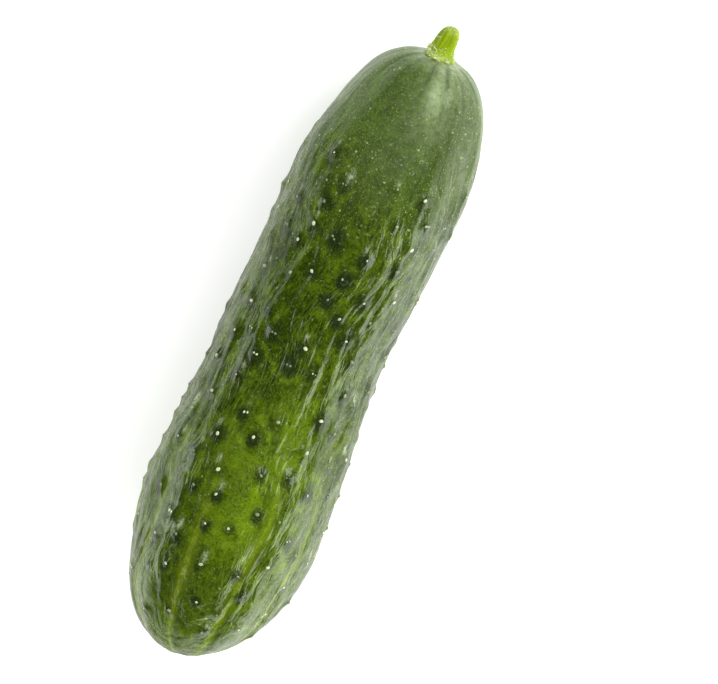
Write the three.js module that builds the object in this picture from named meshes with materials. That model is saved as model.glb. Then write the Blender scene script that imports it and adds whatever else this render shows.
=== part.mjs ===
// A field cucumber, picked and lying on its belly, with the stub of its stem still on it.
// Millimetres. +X points to the stem end, +Z up, and the origin is under the middle of its box.
import * as THREE from "three";

// ---- driving dimensions -------------------------------------------------

// The fruit, measured from the blossom end (0) to the stem end.
const fruitLength = 135;
const stationStep = 15;
// Radius of the body at each station, before the two ends round it off.
const bodyRadii = [19.5, 18.8, 19.0, 18.4, 16.8, 16.4, 16.9, 17.1, 16.9, 19.4];
// Sideways place of the centreline at each station: a slight bend.
const centreSways = [-1.0, -1.1, -0.7, -0.1, 0.6, 0.9, 0.6, 0.2, -0.1, -0.1];
const endLength = 33; // each end is half an ellipsoid this long

// The belly runs nearly straight, and is pressed flat where the fruit rests.
const restCentre = 68;
const restDepth = 0.65;
const bellyRise = 1.45; // how far the belly has risen at bellyReach from restCentre
const bellyReach = 60;

// The section is faintly three-sided, with shallow ribs and slow swells.
const lobeDepth = 0.018; // share of the radius
const ribCount = 10;
const ribTurn = 5; // degrees from the top to the middle of a rib
const ribDepth = 0.12;
const ribDepthBlossom = 0.24; // added at the blossom end
const ribDepthStem = 0.2; // added at the stem end, as grooves running to the stem
const ribFadeBlossom = 26;
const ribFadeStem = 9;
const swellDepth = 0.2;

// The blossom scar, a small pit, and the flattened seat of the stem.
const scarDepth = 0.7;
const scarRadius = 2.2;
const seatDepth = 0.9;
const seatRadius = 5;
const seatDiscRadius = 3;

// Warts, each with a blunt spine on top.
const wartCount = 215;
const wartSpacing = 4.6;
const wartFrom = 5;
const wartTo = 118;
const wartFullFrom = 22; // warts are at full density between these two
const wartFullTo = 105;
const wartRadius = 1.4; // of the smallest wart
const wartRadiusMore = 0.6;
const wartHeight = 0.16;
const wartHeightMore = 0.2;
const wartClearHeight = 1.4; // none lower than this, where the fruit rests
const spineRadius = 0.42;
const spineHeight = 0.25;
const firstDraw = 20417;

// The stem stub: a ribbed shaft that leans a little and widens into a collar.
const stemGap = 0.3;
const stemLength = 6.4;
const stemShiftY = 0.35; // how far its foot stands to one side of the seat's middle
const stemLeanY = -0.35; // how far its tip has moved sideways from there
const stemLeanZ = 1.3; // and up
const stemSides = 30;
const stemRibs = 5;
const stemRibDepth = 0.06; // share of the radius
// Radius at each share of the length, from the collar to the torn tip.
const stemProfile = [
  [0, 3.05],
  [0.06, 3.1],
  [0.15, 2.65],
  [0.27, 2.3],
  [0.42, 2.15],
  [0.6, 2.05],
  [0.76, 1.85],
  [0.88, 1.5],
  [0.96, 1.0],
  [1, 0.45],
];
const stemTipSlant = 0.5; // how much further one side of the tip reaches

// The skin's grid of triangles.
const columns = 56;
const rows = 72;
const evenPasses = 3; // how often the points between the warts are evened out

// Where the blossom end lies from the origin, so that the origin is under the middle.
const blossomX = -70.6;
const centreY = -0.5;

// ---- the body of the fruit ----------------------------------------------

// A smooth curve through values that are stationStep apart.
function alongFruit(values, s) {
  const last = values.length - 1;
  const place = Math.min(Math.max(s / stationStep, 0), last - 1e-9);
  const i = Math.floor(place);
  const u = place - i;
  const at = (k) => {
    if (k < 0) return 2 * values[0] - values[1];
    if (k > last) return 2 * values[last] - values[last - 1];
    return values[k];
  };
  const [a, b, c, d] = [at(i - 1), at(i), at(i + 1), at(i + 2)];
  const bend = (2 * a - 5 * b + 4 * c - d) * u * u;
  const twist = (3 * b - a - 3 * c + d) * u * u * u;
  return 0.5 * (2 * b + (c - a) * u + bend + twist);
}

// Share of the full radius at a distance from an end: the quarter of an ellipse.
function endRounding(distance) {
  const short = Math.min(Math.max(1 - distance / endLength, 0), 1);
  return Math.sqrt(1 - short * short);
}

function smoothRamp(from, to, x) {
  const t = Math.min(Math.max((x - from) / (to - from), 0), 1);
  return t * t * (3 - 2 * t);
}

// A point of the body without its warts, s along it and angle round it from +Y.
function bodyPoint(s, angle) {
  const fromStem = fruitLength - s;
  const full = alongFruit(bodyRadii, s);
  const belly = bellyRise * ((s - restCentre) / bellyReach) ** 2 - restDepth;
  const plain = full * endRounding(s) * endRounding(fromStem);
  const ribs =
    ribDepth +
    ribDepthBlossom * Math.exp(-s / ribFadeBlossom) +
    ribDepthStem * Math.exp(-fromStem / ribFadeStem);
  const roundness = plain / full;
  const lobe = -lobeDepth * Math.sin(3 * angle) * plain;
  const ribMiddle = THREE.MathUtils.degToRad(90 + ribTurn);
  const rib = ribs * Math.cos(ribCount * (angle - ribMiddle)) * roundness;
  const swell =
    swellDepth *
    roundness *
    (Math.sin(s / 8.5 + 2 * angle) + 0.7 * Math.sin(s / 5.3 - 3 * angle + 1));
  const radius = plain + lobe + rib + swell;
  const scar = scarDepth * Math.exp(-((plain / scarRadius) ** 2));
  const seat = seatDepth * Math.exp(-((plain / seatRadius) ** 2));
  const x = s + (s < fromStem ? scar : -seat);
  const y = alongFruit(centreSways, s) + radius * Math.cos(angle);
  const z = full + belly + radius * Math.sin(angle);
  return new THREE.Vector3(x, y, z);
}

// Outward direction of the body there.
function bodyNormal(s, angle) {
  const step = 0.01;
  const back = bodyPoint(Math.max(s - step, 0.001), angle);
  const along = bodyPoint(Math.min(s + step, fruitLength - 0.001), angle).sub(back);
  const round = bodyPoint(s, angle + step).sub(bodyPoint(s, angle - step));
  return round.cross(along).normalize();
}

// ---- warts --------------------------------------------------------------

let drawState = firstDraw;
function draw() {
  drawState = (drawState * 16807) % 2147483647;
  return drawState / 2147483647;
}

// Scattered at random over the middle of the fruit, never closer than wartSpacing.
function scatterWarts() {
  const warts = [];
  while (warts.length < wartCount) {
    const s = wartFrom + (wartTo - wartFrom) * draw();
    const angle = 2 * Math.PI * draw();
    const size = draw();
    const chance = draw();
    const thickening = smoothRamp(wartFrom - 6, wartFullFrom, s);
    const thinning = 1 - smoothRamp(wartFullTo, wartTo, s);
    const point = bodyPoint(s, angle);
    if (chance > thickening * thinning || point.z < wartClearHeight) continue;
    if (warts.some((wart) => wart.point.distanceTo(point) < wartSpacing)) continue;
    warts.push({
      s,
      angle,
      point,
      radius: wartRadius + wartRadiusMore * size,
      height: wartHeight + wartHeightMore * size,
    });
  }
  return warts;
}

// ---- the skin -----------------------------------------------------------

// Stations that are equally far apart along the skin, both ends left out.
function evenStations(to, count) {
  const fine = 4000;
  const path = [0];
  const stationAt = (k) => (to * (1 - Math.cos((Math.PI * k) / fine))) / 2;
  for (let k = 1; k <= fine; k++) {
    const step = bodyPoint(stationAt(k), 0).distanceTo(bodyPoint(stationAt(k - 1), 0));
    path.push(path[k - 1] + step);
  }
  const stations = [];
  let k = 0;
  for (let i = 1; i <= count; i++) {
    while (path[k] < (path[fine] * i) / (count + 1)) k++;
    stations.push(stationAt(k));
  }
  return stations;
}

// Where the flat disc that the stem sits on begins.
function seatStation() {
  let s = fruitLength - 3;
  const radiusAt = (x) => alongFruit(bodyRadii, x) * endRounding(fruitLength - x);
  while (radiusAt(s) > seatDiscRadius) s += 0.001;
  return s;
}

// One of six places evenly round a wart, in the order in which nearby() gives them.
function pointRound(wart, radius, k) {
  const { s, angle } = wart;
  const step = 0.05;
  const perS = bodyPoint(s + step, angle).distanceTo(bodyPoint(s, angle)) / step;
  const perAngle = bodyPoint(s, angle + step).distanceTo(bodyPoint(s, angle)) / step;
  const turn = (Math.PI * k) / 3;
  return {
    s: s + (radius * Math.sin(turn)) / perS,
    angle: angle + (radius * Math.cos(turn)) / perAngle,
  };
}

// Moves a free grid point to the middle of those round it.
function evenOut(cell, ring) {
  if (cell.fixed) return;
  const turns = ring.map((other) => {
    const turn = other.angle - cell.angle;
    return Math.atan2(Math.sin(turn), Math.cos(turn));
  });
  cell.angle += turns.reduce((sum, turn) => sum + turn, 0) / 6;
  cell.s = ring.reduce((sum, other) => sum + other.s, 0) / 6;
}

function fruitGeometry() {
  const seatS = seatStation();
  const stations = [...evenStations(seatS, rows - 1), seatS];
  // A grid whose odd rows are moved half a step round, so that its triangles are even.
  const grid = stations.map((s, i) =>
    Array.from({ length: columns }, (_, j) => {
      const angle = (2 * Math.PI * (j + 0.5 * (i % 2))) / columns;
      return { s, angle, sharedBy: 0 };
    }),
  );
  const nearby = (i, j) => {
    const side = i % 2 ? 0 : -1;
    const cell = (row, column) => grid[row][(column + columns) % columns];
    return [
      cell(i, j + 1),
      cell(i + 1, j + side + 1),
      cell(i + 1, j + side),
      cell(i, j - 1),
      cell(i - 1, j + side),
      cell(i - 1, j + side + 1),
    ];
  };

  // Each wart takes over the nearest grid point, and the six round it are drawn in to its
  // foot, but for one that lies between two warts.
  const taken = [];
  for (const wart of scatterWarts()) {
    let best = null;
    for (let i = 2; i < rows - 2; i++) {
      if (Math.abs(stations[i] - wart.s) > 6) continue;
      for (let j = 0; j < columns; j++) {
        const distance = bodyPoint(stations[i], grid[i][j].angle).distanceTo(wart.point);
        if (!best || distance < best.distance) best = { distance, i, j };
      }
    }
    const centre = grid[best.i][best.j];
    Object.assign(centre, { wart, s: wart.s, angle: wart.angle, fixed: true });
    taken.push({ wart, centre, ring: nearby(best.i, best.j) });
  }
  for (const { ring } of taken) {
    ring.forEach((cell) => (cell.sharedBy += 1));
  }
  for (const { wart, ring } of taken) {
    ring.forEach((cell, k) => {
      if (cell.wart || cell.sharedBy > 1) return;
      Object.assign(cell, pointRound(wart, wart.radius, k), { fixed: true });
    });
  }
  for (let pass = 0; pass < evenPasses; pass++) {
    for (let i = 1; i < rows - 1; i++) {
      for (let j = 0; j < columns; j++) evenOut(grid[i][j], nearby(i, j));
    }
  }

  const points = [];
  const faces = [];
  // Adds a point of the skin, pressed flat where it would go below the surface.
  function addPoint(s, angle, lift) {
    const point = bodyPoint(s, angle).addScaledVector(bodyNormal(s, angle), lift);
    points.push(point.setZ(Math.max(point.z, 0)));
    return points.length - 1;
  }
  grid.flat().forEach((cell) => {
    cell.index = addPoint(cell.s, cell.angle, 0);
  });

  // The ring and the tip of a spine, in place of a wart's centre.
  const corner = new Map();
  for (const { wart, centre, ring } of taken) {
    const share = spineRadius / wart.radius;
    const ringHeight = wart.height * (1 - share * share) ** 2;
    const feet = ring.map((cell, k) => {
      const { s, angle } = pointRound(wart, spineRadius, k);
      const foot = addPoint(s, angle, ringHeight);
      corner.set(centre.index + "," + cell.index, foot);
      return foot;
    });
    const tip = addPoint(wart.s, wart.angle, wart.height + spineHeight);
    feet.forEach((foot, k) => faces.push([foot, feet[(k + 1) % 6], tip]));
  }

  // A triangle of the grid. One that meets a wart's centre stops at the spine's ring.
  function addFace(a, b, c) {
    for (const [p, q, r] of [
      [a, b, c],
      [b, c, a],
      [c, a, b],
    ]) {
      const toQ = corner.get(p + "," + q);
      if (toQ === undefined) continue;
      const toR = corner.get(p + "," + r);
      faces.push([toQ, q, r], [toQ, r, toR]);
      return;
    }
    faces.push([a, b, c]);
  }
  for (let i = 0; i < rows - 1; i++) {
    for (let j = 0; j < columns; j++) {
      const next = (j + 1) % columns;
      const [low, high] = [grid[i], grid[i + 1]];
      if (i % 2) {
        addFace(low[j].index, high[next].index, high[j].index);
        addFace(low[j].index, low[next].index, high[next].index);
      } else {
        addFace(low[j].index, low[next].index, high[j].index);
        addFace(low[next].index, high[next].index, high[j].index);
      }
    }
  }

  // The two ends are closed: a pit at the blossom end, a flat disc at the stem end.
  const blossom = addPoint(0, 0, 0);
  const [first, last] = [grid[0], grid[rows - 1]];
  const seat = points.push(ringCentre(last.map((cell) => points[cell.index]))) - 1;
  for (let j = 0; j < columns; j++) {
    const next = (j + 1) % columns;
    faces.push([blossom, first[next].index, first[j].index]);
    faces.push([seat, last[j].index, last[next].index]);
  }
  return { geometry: facetGeometry(points, faces), seat: points[seat] };
}

function ringCentre(ring) {
  return ring.reduce((sum, p) => sum.add(p), new THREE.Vector3()).divideScalar(ring.length);
}

function facetGeometry(points, faces) {
  const geometry = new THREE.BufferGeometry().setFromPoints(points);
  geometry.setIndex(faces.flat());
  geometry.computeVertexNormals();
  return geometry;
}

// ---- the stem -----------------------------------------------------------

// The shaft's rings, from the collar's flat underside to the torn tip.
function stemGeometry(seat) {
  const points = [];
  const faces = [];
  const foot = new THREE.Vector3(seat.x + stemGap, seat.y + stemShiftY, seat.z);
  for (const [share, radius] of stemProfile) {
    const centre = foot.clone();
    centre.y += stemLeanY * share * share;
    centre.z += stemLeanZ * share;
    for (let j = 0; j < stemSides; j++) {
      const angle = (2 * Math.PI * j) / stemSides;
      const rib = 1 + stemRibDepth * Math.cos(stemRibs * angle) * Math.min(share * 6, 1);
      const slant = stemTipSlant * share ** 4 * Math.sin(angle + 0.6);
      const x = centre.x + stemLength * share + slant * (radius / stemProfile[1][1]);
      const y = centre.y + radius * rib * Math.cos(angle);
      points.push(new THREE.Vector3(x, y, centre.z + radius * rib * Math.sin(angle)));
    }
  }
  const rings = stemProfile.length;
  const under = points.push(ringCentre(points.slice(0, stemSides))) - 1;
  const top = points.push(ringCentre(points.slice((rings - 1) * stemSides, rings * stemSides))) - 1;
  for (let j = 0; j < stemSides; j++) {
    const next = (j + 1) % stemSides;
    faces.push([under, next, j]);
    for (let i = 0; i < rings - 1; i++) {
      const [a, b] = [i * stemSides + j, i * stemSides + next];
      faces.push([a, b, b + stemSides], [a, b + stemSides, a + stemSides]);
    }
    const edge = (rings - 1) * stemSides;
    faces.push([top, edge + j, edge + next]);
  }
  return facetGeometry(points, faces);
}

// ---- the whole cucumber -------------------------------------------------

const cucumber = new THREE.Group();
cucumber.name = "cucumber";
cucumber.position.set(blossomX, -centreY, 0);

const skinMaterial = new THREE.MeshStandardMaterial({ color: "#4a6a12", roughness: 0.35 });
const stemMaterial = new THREE.MeshStandardMaterial({ color: "#8fa81c", roughness: 0.6 });

const { geometry, seat } = fruitGeometry();
const fruit = new THREE.Mesh(geometry, skinMaterial);
fruit.name = "fruit";
cucumber.add(fruit);

const stem = new THREE.Mesh(stemGeometry(seat), stemMaterial);
stem.name = "stem";
cucumber.add(stem);

export default cucumber;
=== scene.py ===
import math

import bmesh
import bpy
import numpy as np
from mathutils import Matrix, Vector, noise


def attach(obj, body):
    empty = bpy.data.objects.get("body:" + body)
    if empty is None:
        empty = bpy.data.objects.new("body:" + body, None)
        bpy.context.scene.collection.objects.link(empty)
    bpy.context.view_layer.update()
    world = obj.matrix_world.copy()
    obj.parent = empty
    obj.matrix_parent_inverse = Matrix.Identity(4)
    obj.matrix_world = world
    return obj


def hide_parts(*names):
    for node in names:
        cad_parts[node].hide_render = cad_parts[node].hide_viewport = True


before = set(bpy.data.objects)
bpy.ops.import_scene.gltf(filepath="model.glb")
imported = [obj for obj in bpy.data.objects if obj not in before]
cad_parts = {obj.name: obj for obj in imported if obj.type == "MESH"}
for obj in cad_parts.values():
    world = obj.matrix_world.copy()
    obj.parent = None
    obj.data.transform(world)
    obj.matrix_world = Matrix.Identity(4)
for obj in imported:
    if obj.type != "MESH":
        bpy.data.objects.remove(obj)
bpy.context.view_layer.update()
MM = 0.001  # the sizes below are in millimetres, the scene in metres


# ---- the fruit's skin ---------------------------------------------------
# One grown body: a long fruit with a slight bend and waist, ten shallow ribs, and warts all over
# but for the shoulder at the stem. It lies pressed a little flat under its weight. The form below
# is the solid's, and the fine furrows between the warts are added to it.

FRUIT_LENGTH = 135
STATION_STEP = 15
BODY_RADII = [19.5, 18.8, 19.0, 18.4, 16.8, 16.4, 16.9, 17.1, 16.9, 19.4]
CENTRE_SWAYS = [-1.0, -1.1, -0.7, -0.1, 0.6, 0.9, 0.6, 0.2, -0.1, -0.1]
END_LENGTH = 33  # over which each end rounds off
REST_CENTRE = 68  # the middle of the flat spot, from the blossom end
REST_DEPTH = 0.65
BELLY_RISE = 1.45  # of the belly, BELLY_REACH away from the flat spot's middle
BELLY_REACH = 60
LOBE_DEPTH = 0.018  # share of the radius by which three broad sides stand out
RIB_COUNT = 10
RIB_TURN = 5  # degrees from the top to the middle of a rib
RIB_DEPTH = 0.12
RIB_DEPTH_BLOSSOM = 0.24
RIB_DEPTH_STEM = 0.2
RIB_FADE_BLOSSOM = 26
RIB_FADE_STEM = 9
SWELL_DEPTH = 0.2  # of the gentle unevenness of the whole fruit
# Its waves: length (mm, over 2 pi), turns round the fruit, start (radians) and share of the depth.
SWELLS = [(8.5, 2, 0, 1), (5.3, -3, 1, 0.7)]
SCAR_DEPTH = 0.7
SCAR_RADIUS = 2.2
SEAT_DEPTH = 0.9  # of the hollow in which the stem stands
SEAT_RADIUS = 5

# The blossom end's tip and the middle of the centreline, from the frame's origin.
FRUIT_START = np.array([-70.6, 0.5, 0.0])


def along_fruit(values, s):
    """A smooth curve through values that are STATION_STEP apart."""
    padded = [2 * values[0] - values[1], *values, 2 * values[-1] - values[-2]]
    place = np.clip(np.asarray(s, float) / STATION_STEP, 0, len(values) - 1 - 1e-9)
    i = np.floor(place).astype(int)
    u = place - i
    a, b, c, d = (np.take(padded, i + k) for k in range(4))
    bend = (2 * a - 5 * b + 4 * c - d) * u**2
    twist = (3 * b - a - 3 * c + d) * u**3
    return 0.5 * (2 * b + (c - a) * u + bend + twist)


def end_rounding(distance):
    """The share of the full radius at a distance from one end."""
    return np.sqrt(1 - np.clip(1 - distance / END_LENGTH, 0, 1) ** 2)


def smooth_ramp(low, high, x):
    """Rises smoothly from 0 at low to 1 at high."""
    t = np.clip((x - low) / (high - low), 0, 1)
    return t * t * (3 - 2 * t)


def body_point(s, angle):
    """A point of the body without its warts: s along it, angle round it from +Y."""
    from_stem = FRUIT_LENGTH - s
    full = along_fruit(BODY_RADII, s)
    belly = BELLY_RISE * ((s - REST_CENTRE) / BELLY_REACH) ** 2 - REST_DEPTH
    plain = full * end_rounding(s) * end_rounding(from_stem)
    ribs = RIB_DEPTH + RIB_DEPTH_BLOSSOM * np.exp(-s / RIB_FADE_BLOSSOM)
    ribs = ribs + RIB_DEPTH_STEM * np.exp(-from_stem / RIB_FADE_STEM)
    roundness = plain / full
    lobe = -LOBE_DEPTH * np.sin(3 * angle) * plain
    rib = ribs * np.cos(RIB_COUNT * (angle - math.radians(90 + RIB_TURN))) * roundness
    swell = sum(part * np.sin(s / far + turns * angle + at) for far, turns, at, part in SWELLS)
    radius = plain + lobe + rib + SWELL_DEPTH * roundness * swell
    scar = SCAR_DEPTH * np.exp(-((plain / SCAR_RADIUS) ** 2))
    seat = SEAT_DEPTH * np.exp(-((plain / SEAT_RADIUS) ** 2))
    x = s + np.where(s < from_stem, scar, -seat)
    y = along_fruit(CENTRE_SWAYS, s) + radius * np.cos(angle)
    z = full + belly + radius * np.sin(angle)
    return np.stack(np.broadcast_arrays(x, y, z), axis=-1)


def body_normal(s, angle):
    """The way out of the body at such a point."""
    step = 0.01
    along = body_point(np.minimum(s + step, FRUIT_LENGTH - 0.001), angle)
    along = along - body_point(np.maximum(s - step, 0.001), angle)
    across = body_point(s, angle + step) - body_point(s, angle - step)
    normal = np.cross(across, along)
    return normal / np.maximum(np.linalg.norm(normal, axis=-1, keepdims=True), 1e-12)


# Where the warts stand: drawn at random from one seed, thinning out towards both ends.
WART_COUNT = 215
WART_SPACING = 4.6
WART_FROM = 5
WART_TO = 118
WART_THIN_FROM = -1  # their density rises from here, and is full between the next two
WART_FULL_FROM = 22
WART_FULL_TO = 105
WART_RADIUS = 1.4
WART_RADIUS_MORE = 0.6
WART_HEIGHT = 0.16
WART_HEIGHT_MORE = 0.2
WART_CLEAR_HEIGHT = 1.4  # none stands lower than this, where the fruit rests
FIRST_DRAW = 20417

draw_state = FIRST_DRAW
noise.seed_set(FIRST_DRAW)  # the furrows bend by it, and it starts from the clock otherwise


def draw():
    """The next number of one fixed random row, between 0 and 1."""
    global draw_state
    draw_state = (draw_state * 16807) % 2147483647
    return draw_state / 2147483647


warts = []
wart_points = np.empty((0, 3))
while len(warts) < WART_COUNT:
    s = WART_FROM + (WART_TO - WART_FROM) * draw()
    angle = 2 * math.pi * draw()
    size = draw()
    chance = draw()
    thickening = smooth_ramp(WART_THIN_FROM, WART_FULL_FROM, s)
    thinning = 1 - smooth_ramp(WART_FULL_TO, WART_TO, s)
    point = body_point(s, angle)
    if chance > thickening * thinning or point[2] < WART_CLEAR_HEIGHT:
        continue
    if (np.linalg.norm(wart_points - point, axis=1) < WART_SPACING).any():
        continue
    radius = WART_RADIUS + WART_RADIUS_MORE * size
    height = WART_HEIGHT + WART_HEIGHT_MORE * size
    warts.append({"s": s, "angle": angle, "radius": radius, "height": height})
    wart_points = np.vstack([wart_points, point])

SKIN_SEGMENTS = 320
SKIN_ROWS = 310
SKIN_RADIUS = 17.5  # of the plain cylinder on which the skin's patterns are laid out

skin_bm = bmesh.new()
bmesh.ops.create_uvsphere(skin_bm, u_segments=SKIN_SEGMENTS, v_segments=SKIN_ROWS, radius=1)
ball = np.array([v.co for v in skin_bm.verts])

# Rows of the ball are laid evenly along the skin from the blossom end (-Z) to the stem end (+Z).
PATH_STEPS = 4001
path_s = FRUIT_LENGTH * (1 - np.cos(np.linspace(0, np.pi, PATH_STEPS))) / 2
path = np.linalg.norm(np.diff(body_point(path_s, 0.0), axis=0), axis=1).cumsum()
row = 1 - np.arccos(np.clip(ball[:, 2], -1, 1)) / np.pi
s = np.interp(row, np.append(0, path) / path[-1], path_s)
angle = np.arctan2(ball[:, 1], ball[:, 0])
plain = body_point(s, angle)
normal = body_normal(s, angle)

# The veins meet a little to the -Y side of the blossom end's tip, so the patterns are skewed there,
# and they wander as they run.
VEIN_SKEW = 3.0
VEIN_SKEW_FADE = 8
VEIN_WANDER = 0.16
VEIN_WANDER_TURNS = 2.2
VEIN_WANDER_LENGTH = 17
section = along_fruit(BODY_RADII, s) * end_rounding(s) * end_rounding(FRUIT_LENGTH - s)
skew = VEIN_SKEW * np.exp(-s / VEIN_SKEW_FADE)
vein_angle = np.arctan2(section * np.sin(angle), section * np.cos(angle) + skew)
for i, (si, ai) in enumerate(zip(s, angle)):
    round_it = VEIN_WANDER_TURNS * math.cos(ai), VEIN_WANDER_TURNS * math.sin(ai)
    vein_angle[i] += VEIN_WANDER * noise.noise(Vector((*round_it, si / VEIN_WANDER_LENGTH)))

# A wart is a low dome with a shallow moat round it. Its skin is dark, and painted shade spreads out
# from it, most of it towards the blossom end, on its side away from the light, paler on the flanks.
MARK_REACH = 5  # how far along the fruit a wart can show
MOAT_DEPTH = 0.07
MOAT_RADII = 1.4  # times the wart's own radius
MOAT_SPREAD = 0.2
PALEST_WART = 0.35  # share of the darkest wart's colour
FEW_PALE = 0.7  # below 1 makes the palest ones rarer
FLANK_PALING = 0.55
SHADE_SHIFT = 0.8
SHADE_TURN = 0.06  # radians
SHADE_LEAST = 0.85  # reach of the dark in the wart's own radii, near the blossom end
SHADE_MOST = 1.15
SHADE_LEAST_AT = 20  # mm from the blossom end
SHADE_MOST_AT = 75
SHADE_LENGTHWISE = 0.8
wart_lift = np.zeros(len(s))
wart_dark_and_painted_shade = np.zeros(len(s))

# Lighter, riper skin lies round it.
RING_RADII = 1.9
RING_SPREAD = 0.8
wart_ring = np.zeros(len(s))

# A painted highlight lies on the stem side of some warts, where the lamp beyond the stem is
# mirrored on their slopes.
HIGHLIGHT_SHIFT = 1.9
HIGHLIGHT_TURN = 0.12
HIGHLIGHT_LEAST = 0.5  # half its width
HIGHLIGHT_MORE = 0.45
HIGHLIGHT_LENGTHWISE = 0.45
HIGHLIGHT_GAIN = 1.7
HIGHLIGHT_BARE = 0.95  # more than half of the warts have none
painted_highlight = np.zeros(len(s))
for wart, point in zip(warts, wart_points):
    darkness = PALEST_WART + (1 - PALEST_WART) * draw() ** FEW_PALE
    darkness *= 1 - FLANK_PALING * math.cos(wart["angle"]) ** 2
    near = np.abs(s - wart["s"]) < MARK_REACH
    share = np.linalg.norm(plain[near] - point, axis=1) / wart["radius"]
    dome = np.where(share < 1, (1 - np.minimum(share, 1) ** 2) ** 2, 0)
    moat = np.exp(-((share - MOAT_RADII) ** 2) / MOAT_SPREAD)
    wart_lift[near] += wart["height"] * dome - MOAT_DEPTH * moat

    shade_s = wart["s"] - SHADE_SHIFT * draw()
    shade_place = body_point(shade_s, wart["angle"] + SHADE_TURN * (draw() - 0.5))
    away = np.linalg.norm((plain[near] - shade_place) * (SHADE_LENGTHWISE, 1, 1), axis=1)
    shade_growth = smooth_ramp(SHADE_LEAST_AT, SHADE_MOST_AT, wart["s"])
    shade_radii = SHADE_LEAST + (SHADE_MOST - SHADE_LEAST) * shade_growth
    shade = darkness * np.exp(-((away / wart["radius"] / shade_radii) ** 2))
    wart_dark_and_painted_shade[near] = np.maximum(wart_dark_and_painted_shade[near], shade)
    ring = darkness * np.exp(-(((share - RING_RADII) / RING_SPREAD) ** 2))
    wart_ring[near] = np.maximum(wart_ring[near], ring)

    highlight_angle = wart["angle"] + HIGHLIGHT_TURN * (draw() - 0.5)
    highlight_place = body_point(wart["s"] + HIGHLIGHT_SHIFT, highlight_angle)
    away = np.linalg.norm((plain[near] - highlight_place) * (HIGHLIGHT_LENGTHWISE, 1, 1), axis=1)
    highlight_width = HIGHLIGHT_LEAST + HIGHLIGHT_MORE * draw()
    highlight_strength = max(0.0, HIGHLIGHT_GAIN * draw() - HIGHLIGHT_BARE)
    painted_glint = highlight_strength * np.exp(-((away / highlight_width) ** 2))
    painted_highlight[near] = np.maximum(painted_highlight[near], painted_glint)

# Furrows: long wavy valleys that meet and part, deepest where the warts stand.
FURROW_WIDTH = 3.6
FURROW_LENGTH = 16
FURROW_DEPTH = 0.34
FURROW_BEND = 0.55
FURROW_BEND_SIZE = 0.9
FURROW_LEVEL = 0.6  # what is higher stands out from the body, what is lower sinks in
FURROW_RIPPLE = 0.35
FURROW_RIPPLE_SIZE = 2.3
FURROW_LEAST = 0.1  # share of the depth that is left on the smooth shoulder
SHOULDER_FROM = 112  # on top of the fruit
SHOULDER_LATER = 21  # on its flanks the furrows run on this much further
SHOULDER_FADE = 18
TIP_FADE_FROM = 2
TIP_FADE_TO = 26
shoulder_at = SHOULDER_FROM + SHOULDER_LATER * np.cos(angle) ** 2
ridged = 1 - smooth_ramp(shoulder_at - SHOULDER_FADE, shoulder_at, s)
warty = smooth_ramp(TIP_FADE_FROM, TIP_FADE_TO, s) * ridged
furrow = np.zeros(len(s))
turns = SKIN_RADIUS / FURROW_WIDTH
for i, (si, ai) in enumerate(zip(s, vein_angle)):
    spot = Vector((turns * math.cos(ai), turns * math.sin(ai), si / FURROW_LENGTH))
    bend = noise.noise_vector(spot * FURROW_BEND_SIZE) * FURROW_BEND
    ripple = FURROW_RIPPLE * noise.noise(spot * FURROW_RIPPLE_SIZE)
    furrow[i] = 1 - 2 * abs(noise.noise(spot + bend)) + ripple
furrow_lift = FURROW_DEPTH * (furrow - FURROW_LEVEL)
furrow_lift = furrow_lift * (FURROW_LEAST + (1 - FURROW_LEAST) * warty)

# Narrow grooves run out from under the stem and fade on the shoulder.
# Degrees round the fruit, and share of the full depth.
GROOVES = [(8, 0.5), (34, 0.5), (58, 0.35), (87, 1.0), (113, 0.9), (136, 0.5), (163, 0.6)]
GROOVES += [(189, 0.5), (214, 0.8), (243, 0.4), (268, 0.9), (291, 0.5), (320, 0.7), (344, 0.4)]
GROOVE_DEPTH = 0.22
GROOVE_WIDTH = 0.55
GROOVE_REACH = 9
GROOVE_FROM_RADIUS = 3  # nearer than this to the stem's axis there is none
GROOVE_FULL_RADIUS = 5.5
groove_lift = np.zeros(len(s))
for degrees_round, depth_share in GROOVES:
    turn = np.angle(np.exp(1j * (angle - math.radians(degrees_round))))
    groove_lift -= depth_share * GROOVE_DEPTH * np.exp(-((section * turn / GROOVE_WIDTH) ** 2))
groove_lift *= np.exp(-(((FRUIT_LENGTH - s) / GROOVE_REACH) ** 2))
groove_lift *= smooth_ramp(GROOVE_FROM_RADIUS, GROOVE_FULL_RADIUS, section)

# The veins near the blossom end lie in narrow grooves between the ribs.
VEIN_GROOVE_DEPTH = 0.06
VEIN_GROOVE_WIDTH = 0.8
VEIN_GROOVE_RADII = (2, 7)  # nearer than the first to the tip's axis there is none
VEIN_GROOVE_FADE = (24.8, 62)  # from full depth to none, along the fruit
rib_step = 2 * math.pi / RIB_COUNT
from_vein = (vein_angle - math.radians(90 + RIB_TURN)) % rib_step - rib_step / 2
vein_groove = np.exp(-((section * from_vein / VEIN_GROOVE_WIDTH) ** 2))
vein_groove *= smooth_ramp(*VEIN_GROOVE_RADII, section) * (1 - smooth_ramp(*VEIN_GROOVE_FADE, s))

lift = wart_lift + furrow_lift + groove_lift - VEIN_GROOVE_DEPTH * vein_groove
skin_points = plain + normal * lift[:, None]
skin_points[:, 2] = np.maximum(skin_points[:, 2], 0)
for vert, point in zip(skin_bm.verts, (skin_points + FRUIT_START) * MM):
    vert.co = point
bmesh.ops.recalc_face_normals(skin_bm, faces=skin_bm.faces)
for face in skin_bm.faces:
    face.smooth = True
skin_mesh = bpy.data.meshes.new("skin")
skin_bm.to_mesh(skin_mesh)
skin_bm.free()


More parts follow.
